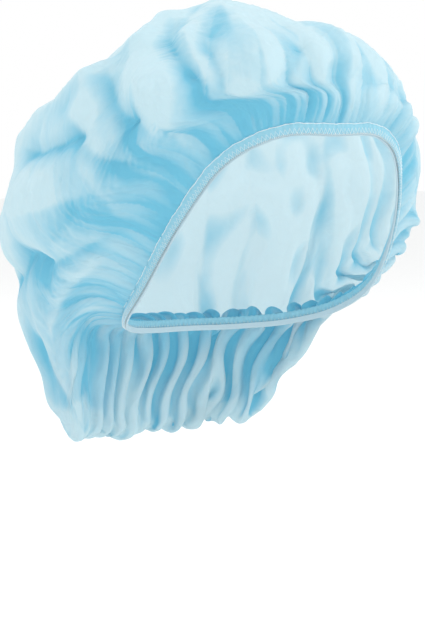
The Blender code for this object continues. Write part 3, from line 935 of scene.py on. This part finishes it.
# Textured polyester overlock thread: white, soft and slightly fuzzy, so no sharp gloss
thread, tree = new_material("textured_polyester_thread")
thread_face = add_node(
    tree, "ShaderNodeBsdfPrincipled", {"Base Color": linear("#eef6f8"), "Roughness": 0.6}
)
thread_face.inputs["Sheen Weight"].default_value = 0.3
finish_material(tree, thread_face.outputs[0])

per_stitch = 8
needle_step = np.arange(STITCHES * per_stitch) / per_stitch
needle_out = BAND_PROUD + NEEDLE_RISE * np.abs(np.sin(np.pi * needle_step)) - NEEDLE_SEAT
# The needle line wanders by up to 0.3 mm, as it does in a fast seam
needle_up = NEEDLE_HEIGHT + 0.0002 * np.sin(needle_step * 0.9) + 0.0001 * np.sin(needle_step * 2.3)
needle_share = needle_step / STITCHES
needle = thread_ring("needle_thread", needle_share, needle_out, needle_up, NEEDLE_RADIUS, 6, thread)

per_loop = 12
loop_step = np.arange(STITCHES * per_loop) / per_loop
swing = np.abs(((loop_step % 1) * 2) - 1)
looper_up = LOOPER_FOOT + LOOPER_HEIGHT * swing**0.9
looper_lift = LOOPER_LIFT + LOOPER_LIFT * np.sin(np.pi * swing)
outer_out = BAND_PROUD + looper_lift
inner_out = BAND_PROUD - BAND_THICKNESS - looper_lift
outer_looper = thread_ring(
    "outer_looper_thread", loop_step / STITCHES, outer_out, looper_up, LOOPER_RADIUS, 5, thread
)
inner_looper = thread_ring(
    "inner_looper_thread", (loop_step + 0.5) / STITCHES, inner_out, looper_up, LOOPER_RADIUS, 5, thread
)

# Where the loopers meet they wrap the cut edge in small turns, two to a stitch
per_wrap = 8
wrap_step = np.arange(STITCHES * 2 * per_wrap) / per_wrap
wrap_turn = 2 * np.pi * wrap_step
wrap_reach = BAND_THICKNESS / 2 + WRAP_CLEARANCE
wrap_out = BAND_PROUD - BAND_THICKNESS / 2 + wrap_reach * np.cos(wrap_turn)
wrap_up = WRAP_MIDDLE + WRAP_HALF_HEIGHT * np.sin(wrap_turn)
edge_wrap = thread_ring(
    "edge_wrap_thread", wrap_step / (2 * STITCHES), wrap_out, wrap_up, WRAP_RADIUS, 5, thread
)
for piece in (needle, outer_looper, inner_looper, edge_wrap):
    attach(piece, "root")


# Elastic
# A flat white elastic, 3 mm wide, of rubber cords covered with polyester. It is sewn in behind the
# band, and its lower edge shows below the band.
ELASTIC_WIDTH, ELASTIC_THICKNESS, ELASTIC_SHOWS, SEAT_GAP = 0.0030, 0.0008, 0.0012, 0.0003
ELASTIC_CORDS, CORD_RELIEF, ELASTIC_STEPS = 5, 0.00012, 900
elastic_share = np.linspace(0, 1, 13)[:-1]
cord_out = CORD_RELIEF * np.abs(np.sin(np.pi * ELASTIC_CORDS * elastic_share))
face_up = -ELASTIC_SHOWS + ELASTIC_WIDTH * elastic_share
elastic_mid = BAND_PROUD - BAND_THICKNESS - SEAT_GAP - ELASTIC_THICKNESS / 2
outer_face = elastic_mid + ELASTIC_THICKNESS / 2 - CORD_RELIEF + cord_out
inner_face = elastic_mid - ELASTIC_THICKNESS / 2 + CORD_RELIEF - cord_out
profile_out = np.concatenate([outer_face, inner_face])
profile_up = np.concatenate([face_up, -ELASTIC_SHOWS + ELASTIC_WIDTH * (1 - elastic_share)])
elastic_steps = np.arange(ELASTIC_STEPS)[:, None] * 360 / ELASTIC_STEPS
elastic_out = np.broadcast_to(profile_out, (ELASTIC_STEPS, len(profile_out)))
elastic_up = np.broadcast_to(profile_up, elastic_out.shape)
elastic_places = hem_place(np.broadcast_to(elastic_steps, elastic_out.shape), elastic_out, elastic_up)
# Covered elastic: white polyester over rubber and matt, with the shade of the cloth painted into it as
# grey-blue
covered_elastic, tree = new_material("polyester_covered_elastic_painted_shade")
elastic_face = add_node(
    tree, "ShaderNodeBsdfPrincipled", {"Base Color": linear("#b9cfd8"), "Roughness": 0.7}
)
finish_material(tree, elastic_face.outputs[0])
elastic = ring_piece("covered_elastic", elastic_places, covered_elastic)
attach(elastic, "root")
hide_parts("elastic")
